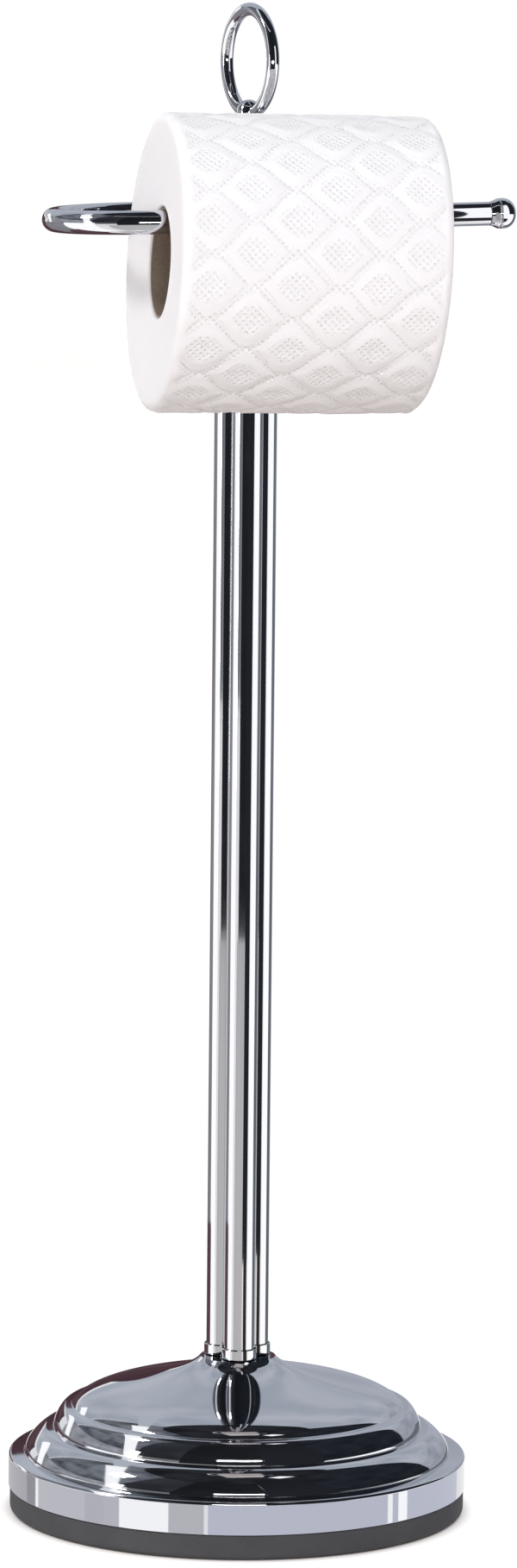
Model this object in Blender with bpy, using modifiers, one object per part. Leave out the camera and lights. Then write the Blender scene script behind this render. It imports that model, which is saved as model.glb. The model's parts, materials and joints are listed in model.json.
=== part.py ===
"""Freestanding toilet paper holder: weighted base, column of three tubes, bent arm, carry ring.

Metres, +Z up. The origin is the middle of the flat underside. The free end of the arm points
along +X, and the paper hangs in front of the column, towards -Y.
"""
import math

import bmesh
import bpy
from mathutils import Matrix, Vector

MM = 0.001
QUARTER = math.radians(90.0)
THIRD = math.radians(120.0)

# Finishes: colour, roughness and metallic
CHROME = ((0.62, 0.63, 0.65), 0.06, 1)
ZINC = ((0.45, 0.45, 0.44), 0.35, 1)
RUBBER = ((0.045, 0.045, 0.048), 0.7, 0)
IRON = ((0.09, 0.09, 0.09), 0.75, 0)
FOAM = ((0.02, 0.02, 0.02), 0.95, 0)
BOARD = ((0.28, 0.21, 0.17), 0.9, 0)
TISSUE = ((0.86, 0.86, 0.87), 0.9, 0)

# Fits
CLEARANCE = 0.3 * MM            # between pieces that touch
OVERRUN = 2.0 * MM              # how far a cutter runs past the face that it cuts
WELD = 0.01 * MM                # corners nearer than this are one corner

# Column of three touching tubes
TUBE_DIAMETER = 12.7 * MM
TUBE_WALL = 1.0 * MM
TUBE_LENGTH = 451.0 * MM
TUBE_TURN = math.radians(-8.0)  # front tube's direction, from -Y towards +X

# Trefoil cups at the two ends of the column
CUP_WALL = 0.6 * MM
CUP_SKIRT = 2.0 * MM            # how deep a tube sits in a cup
FOOT_CUP_FLOOR = 2.0 * MM
HEAD_CUP_FLOOR = 7.5 * MM

# Threaded inserts in the tubes, and the screws that pull the cups on to them
INSERT_LENGTH = 15.0 * MM
SCREW_DIAMETER = 5.0 * MM
SCREW_GRIP = 10.0 * MM          # how far a screw reaches into its insert
SCREW_HEAD_DIAMETER = 8.5 * MM
SCREW_HEAD_HEIGHT = 4.0 * MM
SOCKET_ACROSS = 4.0 * MM
SOCKET_DEPTH = 2.2 * MM
WASHER_THICKNESS = 1.0 * MM
WASHER_RIM = 0.5 * MM           # how far a washer stands out round its screw's head
HEAD_RECESS = 0.6 * MM          # a screw head lies this far below its face

# Spun cover of the base
BAND_RADIUS = 95.0 * MM         # upright band round the base
BAND_HEIGHT = 12.2 * MM
BAND_EDGE = 1.2 * MM            # rounding where the band meets the rim ledge
COVER_WALL = 0.8 * MM
RIM_RUN = 5.4 * MM              # rim that slopes up from the band to the lower bead
RIM_RISE = 1.2 * MM
LOW_BEAD_RUN = 9.5 * MM         # two swelling beads step up to the dome
LOW_BEAD_RISE = 9.0 * MM
HIGH_BEAD_RUN = 5.3 * MM
HIGH_BEAD_RISE = 8.7 * MM
LEDGE_RUN = 2.4 * MM            # sloping ledge above each bead
LEDGE_RISE = 0.6 * MM
DOME_RISE = 20.7 * MM
NECK_RADIUS = 15.6 * MM         # top of the cover, under the column
BEAD_SHARES = ((0.0, 0.355), (0.645, 1.0))  # handles of a step: inwards and upwards
DOME_SHARES = ((0.14, 0.52), (0.86, 0.51))

# Rubber foot ring, iron weight and pad under it
FOOT_HEIGHT = 10.6 * MM         # dark ring that shows below the band
FOOT_INSET = 0.6 * MM           # of the ring's side from the band
FOOT_LIP = 3.3 * MM             # lip that lies under the cover's turned edge
FOOT_WALL = 2.5 * MM
FOOT_FLANGE = 11.3 * MM         # flange that carries the weight
FOOT_FLOOR = 3.0 * MM
FOOT_GRIP = 3.5 * MM            # how far the ring reaches up inside the cover
FOOT_EDGE = 2.4 * MM
WEIGHT_THICKNESS = 10.0 * MM
WEIGHT_CONE_RISE = 16.0 * MM
WEIGHT_CONE_RUN = 20.0 * MM
WEIGHT_BOSS_WALL = 2.2 * MM

# Hub that holds the arm on top of the column
HUB_RADIUS = 13.0 * MM
HUB_HEIGHT = 24.5 * MM
HUB_EDGE = 2.5 * MM
STUD_DIAMETER = 4.0 * MM
STUD_FLOOR = 1.2 * MM           # of the head cup, left under the stud
STUD_REACH = 9.0 * MM           # in the finial
ARM_SCREW_DIAMETER = 4.0 * MM
ARM_SCREW_SOCKET = 2.0 * MM
ARM_SCREW_SOCKET_DEPTH = 1.6 * MM
ARM_SCREW_INSET = 4.2 * MM      # from the mouth of the arm's socket

# Bent arm
ARM_DIAMETER = 9.5 * MM
ARM_WALL = 1.2 * MM
ARM_RISE = math.radians(1.5)    # the arm climbs towards its free end
ROLL_GAP = 1.7 * MM             # between the column's head and the roll as it turns
ROLL_IN_BEND = 7.0 * MM         # how far the roll reaches past the start of the bend
ARM_BARE_END = 28.1 * MM        # of the tube, past the roll
ARM_PLUG_LENGTH = 12.0 * MM
TIP_DIAMETER = 12.2 * MM
TIP_LENGTH = 10.7 * MM
TIP_FLARE = 3.2 * MM
TIP_LIP = 0.8 * MM
TIP_SPIGOT = 9.0 * MM

# Finial and carry ring
BALL_DIAMETER = 10.6 * MM
FINIAL_HEIGHT = 27.2 * MM       # hub to the centre of the ball
FINIAL_BASE_RADIUS = 9.0 * MM
FINIAL_BASE_HEIGHT = 2.4 * MM
FINIAL_BELL_HEIGHT = 12.5 * MM
FINIAL_WAIST_RADIUS = 4.4 * MM
FINIAL_BEAD_RADIUS = 5.4 * MM
FINIAL_BEAD_HEIGHT = 2.6 * MM
FINIAL_STEM_RADIUS = 3.3 * MM
RING_DIAMETER = 47.0 * MM       # over the wire
RING_WIRE = 5.2 * MM
RING_END_GAP = 3.0 * MM         # between the two ends of the wire, inside the ball
RING_TURN = math.radians(-75.5)  # direction that the ring faces, from -Y towards +X

# Paper roll, as it hangs with its core on the arm
CORE_BORE = 41.7 * MM
CORE_WALL = 1.0 * MM
CORE_INSET = 1.0 * MM           # the core ends this far inside the paper's faces
PAPER_DIAMETER = 118.3 * MM
PAPER_WIDTH = 108.6 * MM
PAPER_EDGE = 6.0 * MM
PAPER_BORE_EDGE = 1.0 * MM
PAPER_SAG = 2.0 * MM            # the loose outer turns hang below the core
PAPER_DROOP = math.radians(2.2)  # and slope down towards the free end
PAPER_LEAN = math.radians(4.4)  # the end faces lean along the arm
ROLL_SHIFT = -0.9 * MM          # middle of the roll along the arm

# Sides and steps of the round shapes
WIDE_SIDES = 40
ROUND_SIDES = 32
FINIAL_SIDES = 24
SMALL_SIDES = 16
HEXAGON = 6
LOBE_STEPS = 11
BEAD_STEPS = 4
DOME_STEPS = 7
BEND_STEPS = 24
RING_STEPS = 40
EDGE_STEPS = 2
CROWN_STEPS = 5
BALL_STEPS = 9
COVE_STEPS = 6
PAPER_EDGE_STEPS = 4
BAR_ROUNDNESS = 6
THIN_BAR_ROUNDNESS = 4
SHARP_ANGLE = math.radians(35.0)

# Column layout
TUBE_PITCH = TUBE_DIAMETER + CLEARANCE
TUBE_ORBIT = TUBE_PITCH / math.sqrt(3.0)
TUBE_BORE = TUBE_DIAMETER - 2 * TUBE_WALL
SCREW_HOLE = SCREW_DIAMETER + 2 * CLEARANCE
WASHER_DIAMETER = SCREW_HEAD_DIAMETER + 2 * WASHER_RIM
STUD_HOLE = STUD_DIAMETER + 2 * CLEARANCE
MIDDLE = Vector((0, 0, 0))
CUP_CAVITY_RADIUS = TUBE_DIAMETER / 2 + CLEARANCE
LOBE_RADIUS = CUP_CAVITY_RADIUS + CUP_WALL
SIDES = ("front", "right", "left")
TUBE_AXES = []
for number in range(len(SIDES)):
    direction = TUBE_TURN + number * THIRD
    TUBE_AXES.append(Vector((math.sin(direction), -math.cos(direction), 0)) * TUBE_ORBIT)

# Heights, from the floor up
FOOT_RADIUS = BAND_RADIUS - FOOT_INSET
GRIP_RADIUS = FOOT_RADIUS - FOOT_LIP
WEIGHT_BOTTOM = FOOT_FLOOR + CLEARANCE
WEIGHT_TOP = WEIGHT_BOTTOM + WEIGHT_THICKNESS
BAND_TOP = FOOT_HEIGHT + BAND_HEIGHT
RIM_TOP = BAND_TOP + BAND_EDGE
BEADS = ((LOW_BEAD_RUN, LOW_BEAD_RISE), (HIGH_BEAD_RUN, HIGH_BEAD_RISE))
DOME_BOTTOM = RIM_TOP + RIM_RISE + sum(rise + LEDGE_RISE for _, rise in BEADS)
COVER_TOP = DOME_BOTTOM + DOME_RISE
FOOT_CUP_BOTTOM = COVER_TOP + CLEARANCE
FOOT_CUP_BED = FOOT_CUP_BOTTOM + FOOT_CUP_FLOOR
TUBE_BOTTOM = FOOT_CUP_BED + CLEARANCE
TUBE_TOP = TUBE_BOTTOM + TUBE_LENGTH
HEAD_CUP_BED = TUBE_TOP + CLEARANCE
HEAD_CUP_TOP = HEAD_CUP_BED + HEAD_CUP_FLOOR
HUB_BOTTOM = HEAD_CUP_TOP + CLEARANCE
HUB_TOP = HUB_BOTTOM + HUB_HEIGHT
ARM_HEIGHT = HUB_BOTTOM + HUB_HEIGHT / 2
FINIAL_BOTTOM = HUB_TOP + CLEARANCE
STUD_HOLE_BOTTOM = HEAD_CUP_BED + STUD_FLOOR
BALL_HEIGHT = FINIAL_BOTTOM + FINIAL_HEIGHT
RING_RADIUS = (RING_DIAMETER - RING_WIRE) / 2

# Arm and roll layout, in the arm's own frame
ARM_ROOT = -(STUD_DIAMETER / 2 + 2 * CLEARANCE)
COLUMN_REACH = max(HUB_RADIUS, TUBE_ORBIT + LOBE_RADIUS)
ARM_SPAN = COLUMN_REACH + ROLL_GAP + PAPER_SAG + PAPER_DIAMETER / 2
ARM_BEND_OUT = PAPER_WIDTH / 2 - ROLL_SHIFT - ROLL_IN_BEND
ARM_REACH = PAPER_WIDTH / 2 + ROLL_SHIFT + ARM_BARE_END
BEND_RADIUS = ARM_SPAN / 2
CORE_DROP = CORE_BORE / 2 - ARM_DIAMETER / 2 - CLEARANCE
PAPER_BORE = CORE_BORE + 2 * CORE_WALL + 2 * CLEARANCE

ARM_FRAME = Matrix.Translation((0, 0, ARM_HEIGHT)) @ Matrix.Rotation(-ARM_RISE, 4, "Y")
ALONG_X = Matrix.Rotation(QUARTER, 4, "Y")


def clear_scene():
    for obj in list(bpy.data.objects):
        bpy.data.objects.remove(obj, do_unlink=True)


def new_collection(name):
    collection = bpy.data.collections.new(name)
    bpy.context.scene.collection.children.link(collection)
    return collection


def material(name, look):
    colour, roughness, metallic = look
    mat = bpy.data.materials.new(name)
    mat.use_nodes = True
    shader = mat.node_tree.nodes["Principled BSDF"]
    shader.inputs["Base Color"].default_value = (*colour, 1)
    shader.inputs["Roughness"].default_value = roughness
    shader.inputs["Metallic"].default_value = metallic
    return mat


clear_scene()
PARTS = new_collection("toilet_paper_holder")
CUTTERS = new_collection("cutters")


def finish(obj, look):
    """Give a part its own material and put it with the parts."""
    for collection in list(obj.users_collection):
        collection.objects.unlink(obj)
    PARTS.objects.link(obj)
    obj.data.materials.clear()
    obj.data.materials.append(material(obj.name, look))
    return obj


def as_cutter(obj):
    obj.hide_render = True
    obj.display_type = "WIRE"
    return obj


def new_object(name, data):
    obj = bpy.data.objects.new(name, data)
    CUTTERS.objects.link(obj)
    return obj


def shade_round(mesh):
    mesh.shade_smooth()
    mesh.set_sharp_from_angle(angle=SHARP_ANGLE)


def turned(name, outline, sides, closed=False):
    """Sweep an outline of (radius, height) points round +Z; its outer side runs downwards."""
    count = len(outline)
    edges = [(i, i + 1) for i in range(count - 1)]
    if closed:
        edges.append((count - 1, 0))
    mesh = bpy.data.meshes.new(name)
    mesh.from_pydata([(radius, 0, height) for radius, height in outline], edges, [])
    obj = new_object(name, mesh)
    screw = obj.modifiers.new("turn", "SCREW")
    screw.steps = sides
    screw.render_steps = sides
    screw.use_merge_vertices = True
    screw.merge_threshold = WELD
    screw.use_smooth_shade = True
    return obj


def cylinder(name, radius, bottom, top, sides):
    """Upright cylinder on the Z axis."""
    mesh = bpy.data.meshes.new(name)
    bm = bmesh.new()
    bmesh.ops.create_cone(bm, cap_ends=True, segments=sides, radius1=radius, radius2=radius,
                          depth=top - bottom, matrix=Matrix.Translation((0, 0, (bottom + top) / 2)))
    bm.to_mesh(mesh)
    bm.free()
    shade_round(mesh)
    return new_object(name, mesh)


def hexagon(name, across, bottom, top):
    """Upright hexagonal bar, measured across its flats."""
    return cylinder(name, across / math.sqrt(3.0), bottom, top, HEXAGON)


def sleeve(name, outer, inner, bottom, top, sides):
    """Upright tube on the Z axis, open at both ends."""
    outline = [(outer, top), (outer, bottom), (inner, bottom), (inner, top)]
    return turned(name, outline, sides, closed=True)


def bar(name, points, radius, roundness):
    """Round bar along points, as a mesh with closed ends."""
    curve = bpy.data.curves.new(name, "CURVE")
    curve.dimensions = "3D"
    curve.bevel_depth = radius
    curve.bevel_resolution = roundness
    curve.use_fill_caps = True
    spline = curve.splines.new("POLY")
    spline.points.add(len(points) - 1)
    for point, place in zip(spline.points, points):
        point.co = (*place, 1)
    return meshed(new_object(name, curve))


def plate(name, outline, bottom, top):
    """Flat outline of (x, y) points made a solid between two heights."""
    curve = bpy.data.curves.new(name, "CURVE")
    curve.dimensions = "2D"
    curve.fill_mode = "BOTH"
    curve.extrude = (top - bottom) / 2
    spline = curve.splines.new("POLY")
    spline.points.add(len(outline) - 1)
    spline.use_cyclic_u = True
    for point, (x, y) in zip(spline.points, outline):
        point.co = (x, y, 0, 1)
    obj = new_object(name, curve)
    obj.matrix_world = Matrix.Translation((0, 0, (bottom + top) / 2))
    bpy.context.view_layer.update()
    return meshed(obj)


def meshed(obj):
    """Replace an object by the mesh that it makes, with its caps and doubles welded."""
    bpy.context.view_layer.update()
    seen = obj.evaluated_get(bpy.context.evaluated_depsgraph_get())
    mesh = bpy.data.meshes.new_from_object(seen)
    bm = bmesh.new()
    bm.from_mesh(mesh)
    bmesh.ops.remove_doubles(bm, verts=bm.verts, dist=WELD)
    bm.to_mesh(mesh)
    bm.free()
    shade_round(mesh)
    name, place = obj.name, obj.matrix_world.copy()
    bpy.data.objects.remove(obj, do_unlink=True)
    mesh.name = name
    solid = new_object(name, mesh)
    solid.matrix_world = place
    return solid


def cut(target, cutter):
    modifier = target.modifiers.new(cutter.name, "BOOLEAN")
    modifier.operation = "DIFFERENCE"
    modifier.object = as_cutter(cutter)
    return target


def placed(obj, matrix):
    obj.matrix_world = matrix
    return obj


def repeated(name, obj, places):
    """A zinc plated copy of obj for each tube of the column, all with one mesh."""
    source = meshed(obj)
    for side, place in zip(SIDES, places):
        copy = new_object(f"{name}_{side}", source.data)
        finish(placed(copy, Matrix.Translation(place)), ZINC)
    bpy.data.objects.remove(source, do_unlink=True)


def arc(middle, run, rise, start, end, steps):
    """Points of an arc of an ellipse, from one angle to another."""
    points = []
    for i in range(steps + 1):
        angle = start + (end - start) * i / steps
        points.append((middle[0] + run * math.cos(angle), middle[1] + rise * math.sin(angle)))
    return points


def bezier(first, handle_a, handle_b, last, steps):
    """Points of a cubic curve between two points."""
    points = []
    for i in range(steps + 1):
        t = i / steps
        s = 1 - t
        weights = (s ** 3, 3 * s * s * t, 3 * s * t * t, t ** 3)
        corners = (first, handle_a, handle_b, last)
        points.append(tuple(sum(w * c[k] for w, c in zip(weights, corners)) for k in (0, 1)))
    return points


def trefoil(lobe_radius):
    """Outline round three equal circles on the tubes' axes."""
    half_pitch = TUBE_PITCH / 2
    waist = TUBE_ORBIT / 2 + math.sqrt(lobe_radius ** 2 - half_pitch ** 2)
    half = math.atan2(waist * math.sin(THIRD / 2), waist / 2 - TUBE_ORBIT)
    outline = []
    for axis in TUBE_AXES:
        middle = math.atan2(axis.y, axis.x)
        for i in range(LOBE_STEPS):
            angle = middle - half + 2 * half * i / LOBE_STEPS
            outline.append((axis.x + lobe_radius * math.cos(angle),
                            axis.y + lobe_radius * math.sin(angle)))
    return outline


def drill(target, axes, diameter, bottom, top, sides=SMALL_SIDES):
    """Drill an upright hole in target at each axis."""
    for number, axis in enumerate(axes):
        hole = cylinder(f"{target.name}_hole_{number}", diameter / 2, bottom, top, sides)
        cut(target, placed(hole, Matrix.Translation(axis)))


def swell(radius, height, run, rise, shares, steps):
    """Points of a curved step that runs inwards and up from its foot."""
    handles = [(radius - inward * run, height + upward * rise) for inward, upward in shares]
    return bezier((radius, height), *handles, (radius - run, height + rise), steps)


def cover_outline():
    """Outside of the base cover, from the middle of its top to the lip under its band."""
    outline = [(GRIP_RADIUS + CLEARANCE, FOOT_HEIGHT), (BAND_RADIUS, FOOT_HEIGHT)]
    outline += arc((BAND_RADIUS - BAND_EDGE, BAND_TOP), BAND_EDGE, BAND_EDGE, 0, QUARTER, EDGE_STEPS)
    radius, height = BAND_RADIUS - BAND_EDGE - RIM_RUN, RIM_TOP + RIM_RISE
    for run, rise in BEADS:
        outline += swell(radius, height, run, rise, BEAD_SHARES, BEAD_STEPS)
        radius -= run + LEDGE_RUN
        height += rise + LEDGE_RISE
    outline += swell(radius, height, radius - NECK_RADIUS, DOME_RISE, DOME_SHARES, DOME_STEPS)
    outline.append((0, COVER_TOP))
    return outline[::-1]


def make_base():
    cover = turned("base_cover", cover_outline(), WIDE_SIDES)
    wall = cover.modifiers.new("wall", "SOLIDIFY")
    wall.thickness = COVER_WALL
    wall.offset = -1
    wall.use_even_offset = True
    drill(cover, TUBE_AXES, SCREW_HOLE, COVER_TOP - COVER_WALL - OVERRUN, COVER_TOP + OVERRUN)
    finish(cover, CHROME)

    ring_inner = GRIP_RADIUS - FOOT_WALL
    lip_top = FOOT_HEIGHT - CLEARANCE
    ring_outline = [(ring_inner, FOOT_HEIGHT + FOOT_GRIP), (GRIP_RADIUS, FOOT_HEIGHT + FOOT_GRIP),
                    (GRIP_RADIUS, lip_top), (FOOT_RADIUS, lip_top)]
    ring_outline += arc((FOOT_RADIUS - FOOT_EDGE, FOOT_EDGE), FOOT_EDGE, FOOT_EDGE, 0, -QUARTER, EDGE_STEPS)
    ring_outline += [(FOOT_RADIUS - FOOT_FLANGE, 0), (FOOT_RADIUS - FOOT_FLANGE, FOOT_FLOOR),
                     (ring_inner, FOOT_FLOOR)]
    finish(turned("foot_ring", ring_outline, WIDE_SIDES, closed=True), RUBBER)

    boss_radius = TUBE_ORBIT + SCREW_HOLE / 2 + WEIGHT_BOSS_WALL
    boss_top = COVER_TOP - COVER_WALL - CLEARANCE
    weight_radius = ring_inner - CLEARANCE
    weight = turned("base_weight", [
        (0, boss_top), (boss_radius, boss_top), (boss_radius, WEIGHT_TOP + WEIGHT_CONE_RISE),
        (boss_radius + WEIGHT_CONE_RUN, WEIGHT_TOP), (weight_radius, WEIGHT_TOP),
        (weight_radius, WEIGHT_BOTTOM), (0, WEIGHT_BOTTOM)], WIDE_SIDES)
    drill(weight, TUBE_AXES, SCREW_HOLE, WEIGHT_BOTTOM - OVERRUN, boss_top + OVERRUN)
    drill(weight, TUBE_AXES, WASHER_DIAMETER + 2 * CLEARANCE, WEIGHT_BOTTOM - OVERRUN,
          base_washer_top() + CLEARANCE, ROUND_SIDES)
    finish(weight, IRON)

    pad_radius = FOOT_RADIUS - FOOT_FLANGE - CLEARANCE
    finish(cylinder("base_pad", pad_radius, 0, FOOT_FLOOR, WIDE_SIDES), FOAM)


def base_head_bottom():
    return WEIGHT_BOTTOM + HEAD_RECESS


def base_washer_top():
    return base_head_bottom() + SCREW_HEAD_HEIGHT + CLEARANCE + WASHER_THICKNESS


def socket_screw(name, length):
    """Cap screw that points up, with the end of its head at height 0."""
    tip = SCREW_HEAD_HEIGHT + length
    outline = [(0, tip), (SCREW_DIAMETER / 2, tip), (SCREW_DIAMETER / 2, SCREW_HEAD_HEIGHT),
               (SCREW_HEAD_DIAMETER / 2, SCREW_HEAD_HEIGHT), (SCREW_HEAD_DIAMETER / 2, 0), (0, 0)]
    socket = hexagon(f"{name}_socket", SOCKET_ACROSS, -OVERRUN, SOCKET_DEPTH)
    return cut(turned(name, outline, SMALL_SIDES), socket)


def make_screws():
    bottom = base_head_bottom()
    screw = socket_screw("long_screw", TUBE_BOTTOM + SCREW_GRIP - bottom - SCREW_HEAD_HEIGHT)
    repeated("base_screw", screw, [axis + Vector((0, 0, bottom)) for axis in TUBE_AXES])

    washer = sleeve("washer", WASHER_DIAMETER / 2, SCREW_HOLE / 2,
                    base_washer_top() - WASHER_THICKNESS, base_washer_top(), SMALL_SIDES)
    repeated("base_washer", washer, TUBE_AXES)

    top = HEAD_CUP_TOP - HEAD_RECESS
    screw = meshed(socket_screw("short_screw", top - SCREW_HEAD_HEIGHT - TUBE_TOP + SCREW_GRIP))
    screw.data.transform(Matrix.Rotation(2 * QUARTER, 4, "X"))
    repeated("head_screw", screw, [axis + Vector((0, 0, top)) for axis in TUBE_AXES])


def make_column():
    for side, axis in zip(SIDES, TUBE_AXES):
        tube = sleeve(f"{side}_tube", TUBE_DIAMETER / 2, TUBE_BORE / 2, 0, TUBE_LENGTH, ROUND_SIDES)
        finish(placed(tube, Matrix.Translation(axis + Vector((0, 0, TUBE_BOTTOM)))), CHROME)

    insert_radius = TUBE_BORE / 2 - CLEARANCE
    for name, bottom in (("foot_insert", TUBE_BOTTOM), ("head_insert", TUBE_TOP - INSERT_LENGTH)):
        insert = sleeve("insert", insert_radius, SCREW_HOLE / 2, bottom, bottom + INSERT_LENGTH,
                        SMALL_SIDES)
        repeated(name, insert, TUBE_AXES)

    foot = plate("foot_collar", trefoil(LOBE_RADIUS), FOOT_CUP_BOTTOM, TUBE_BOTTOM + CUP_SKIRT)
    cut(foot, plate("foot_collar_cavity", trefoil(CUP_CAVITY_RADIUS), FOOT_CUP_BED,
                    TUBE_BOTTOM + CUP_SKIRT + OVERRUN))
    drill(foot, TUBE_AXES, SCREW_HOLE, FOOT_CUP_BOTTOM - OVERRUN, FOOT_CUP_BED + OVERRUN)
    finish(foot, CHROME)

    head = plate("head_collar", trefoil(LOBE_RADIUS), TUBE_TOP - CUP_SKIRT, HEAD_CUP_TOP)
    cut(head, plate("head_collar_cavity", trefoil(CUP_CAVITY_RADIUS), TUBE_TOP - CUP_SKIRT - OVERRUN,
                    HEAD_CUP_BED))
    drill(head, TUBE_AXES, SCREW_HOLE, HEAD_CUP_BED - OVERRUN, HEAD_CUP_TOP + OVERRUN)
    drill(head, TUBE_AXES, SCREW_HEAD_DIAMETER + 2 * CLEARANCE,
          HEAD_CUP_TOP - HEAD_RECESS - SCREW_HEAD_HEIGHT - CLEARANCE, HEAD_CUP_TOP + OVERRUN)
    drill(head, [MIDDLE], STUD_HOLE, STUD_HOLE_BOTTOM, HEAD_CUP_TOP + OVERRUN)
    finish(head, CHROME)


def make_hub():
    inset = HUB_RADIUS - HUB_EDGE
    outline = [(0, HUB_TOP)]
    outline += arc((inset, HUB_TOP - HUB_EDGE), HUB_EDGE, HUB_EDGE, QUARTER, 0, EDGE_STEPS)
    outline += arc((inset, HUB_BOTTOM + HUB_EDGE), HUB_EDGE, HUB_EDGE, 0, -QUARTER, EDGE_STEPS)
    outline += [(0, HUB_BOTTOM)]
    hub = turned("arm_hub", outline, ROUND_SIDES)
    drill(hub, [MIDDLE], STUD_HOLE, HUB_BOTTOM - OVERRUN, HUB_TOP + OVERRUN)
    socket = cylinder("arm_hub_socket", ARM_DIAMETER / 2 + CLEARANCE, -HUB_RADIUS - OVERRUN,
                      ARM_ROOT + CLEARANCE, ROUND_SIDES)
    cut(hub, placed(socket, ARM_FRAME @ ALONG_X))

    across = -HUB_RADIUS + ARM_SCREW_INSET
    surface = math.sqrt(HUB_RADIUS ** 2 - across ** 2)
    seat = ARM_DIAMETER / 2 + CLEARANCE
    along_y = Matrix.Translation((across, 0, 0)) @ Matrix.Rotation(-QUARTER, 4, "X")
    hole = cylinder("arm_hub_screw_hole", ARM_SCREW_DIAMETER / 2 + CLEARANCE, 0, surface + OVERRUN,
                    SMALL_SIDES)
    cut(hub, placed(hole, ARM_FRAME @ along_y))
    finish(hub, CHROME)

    screw = cylinder("arm_screw", ARM_SCREW_DIAMETER / 2, seat, surface, SMALL_SIDES)
    key = hexagon("arm_screw_socket", ARM_SCREW_SOCKET, surface - ARM_SCREW_SOCKET_DEPTH,
                  surface + OVERRUN)
    cut(screw, placed(key, ARM_FRAME @ along_y))
    finish(placed(screw, ARM_FRAME @ along_y), ZINC)

    stud = cylinder("hub_stud", STUD_DIAMETER / 2, STUD_HOLE_BOTTOM + CLEARANCE,
                    FINIAL_BOTTOM + STUD_REACH, SMALL_SIDES)
    finish(stud, ZINC)


def arm_path(root, end):
    """Centre line of the arm in its own frame: rear leg, half circle, front leg."""
    points = [(root, 0, 0)]
    bend = arc((-ARM_BEND_OUT, -BEND_RADIUS), BEND_RADIUS, BEND_RADIUS, QUARTER, 3 * QUARTER, BEND_STEPS)
    points += [(x, y, 0) for x, y in bend]
    points.append((end, -ARM_SPAN, 0))
    return points


def make_arm():
    tube = bar("arm_tube", arm_path(ARM_ROOT, ARM_REACH), ARM_DIAMETER / 2, BAR_ROUNDNESS)
    bore = bar("arm_tube_bore", arm_path(ARM_ROOT + OVERRUN, ARM_REACH + OVERRUN),
               ARM_DIAMETER / 2 - ARM_WALL, THIN_BAR_ROUNDNESS)
    cut(placed(tube, ARM_FRAME), placed(bore, ARM_FRAME))
    finish(tube, CHROME)

    fit_radius = ARM_DIAMETER / 2 - ARM_WALL - CLEARANCE
    plug = cylinder("arm_plug", fit_radius, ARM_ROOT - ARM_PLUG_LENGTH, ARM_ROOT, SMALL_SIDES)
    finish(placed(plug, ARM_FRAME @ ALONG_X), ZINC)

    flare_end = CLEARANCE + TIP_FLARE
    crown_foot = flare_end + TIP_LIP
    outline = arc((0, crown_foot), TIP_DIAMETER / 2, TIP_LENGTH - crown_foot, QUARTER, 0, CROWN_STEPS)
    outline += [(TIP_DIAMETER / 2, flare_end), (ARM_DIAMETER / 2, CLEARANCE), (fit_radius, CLEARANCE),
                (fit_radius, -TIP_SPIGOT), (0, -TIP_SPIGOT)]
    tip = turned("arm_tip", outline, ROUND_SIDES)
    place = Matrix.Translation((ARM_REACH, -ARM_SPAN, 0)) @ ALONG_X
    finish(placed(tip, ARM_FRAME @ place), CHROME)


def ring_points(extra):
    """Open ring that stands on the ball, its two ends apart inside it, longer by extra."""
    level = Vector((math.cos(RING_TURN), math.sin(RING_TURN), 0))
    upright = Vector((0, 0, 1))
    middle = Vector((0, 0, BALL_HEIGHT + RING_RADIUS))
    half_gap = (RING_END_GAP / 2 - extra) / RING_RADIUS
    start = -QUARTER + half_gap
    sweep = 4 * QUARTER - 2 * half_gap
    points = []
    for i in range(RING_STEPS + 1):
        angle = start + sweep * i / RING_STEPS
        points.append(middle + RING_RADIUS * (math.cos(angle) * level + math.sin(angle) * upright))
    return points


def make_finial():
    bell_top = FINIAL_BOTTOM + FINIAL_BELL_HEIGHT
    base_top = FINIAL_BOTTOM + FINIAL_BASE_HEIGHT
    bead_top = bell_top + FINIAL_BEAD_HEIGHT
    ball_radius = BALL_DIAMETER / 2
    collar_angle = -math.acos(FINIAL_STEM_RADIUS / ball_radius)
    outline = arc((0, BALL_HEIGHT), ball_radius, ball_radius, QUARTER, collar_angle, BALL_STEPS)
    outline += [(FINIAL_STEM_RADIUS, bead_top)]
    bead_middle = (FINIAL_WAIST_RADIUS, (bell_top + bead_top) / 2)
    outline += arc(bead_middle, FINIAL_BEAD_RADIUS - FINIAL_WAIST_RADIUS, FINIAL_BEAD_HEIGHT / 2,
                   QUARTER, -QUARTER, 2 * EDGE_STEPS)
    cove_run = FINIAL_BASE_RADIUS - FINIAL_WAIST_RADIUS
    cove_rise = bell_top - base_top
    cove = arc((FINIAL_BASE_RADIUS, bell_top), cove_run, cove_rise, 2 * QUARTER, 3 * QUARTER, COVE_STEPS)
    outline += cove[1:]
    outline += [(FINIAL_BASE_RADIUS, FINIAL_BOTTOM), (0, FINIAL_BOTTOM)]
    finial = turned("ring_finial", outline, FINIAL_SIDES)
    drill(finial, [MIDDLE], STUD_HOLE, FINIAL_BOTTOM - OVERRUN, FINIAL_BOTTOM + STUD_REACH + CLEARANCE)
    cut(finial, bar("ring_finial_sockets", ring_points(CLEARANCE), RING_WIRE / 2 + CLEARANCE,
                    THIN_BAR_ROUNDNESS))
    finish(finial, CHROME)
    finish(bar("carry_ring", ring_points(0), RING_WIRE / 2, THIN_BAR_ROUNDNESS), CHROME)


def lean(mesh):
    """Slide the ends of a roll along its own axis, more at the top than at the bottom."""
    for vertex in mesh.vertices:
        vertex.co.z -= vertex.co.x * math.tan(PAPER_LEAN)


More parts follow.
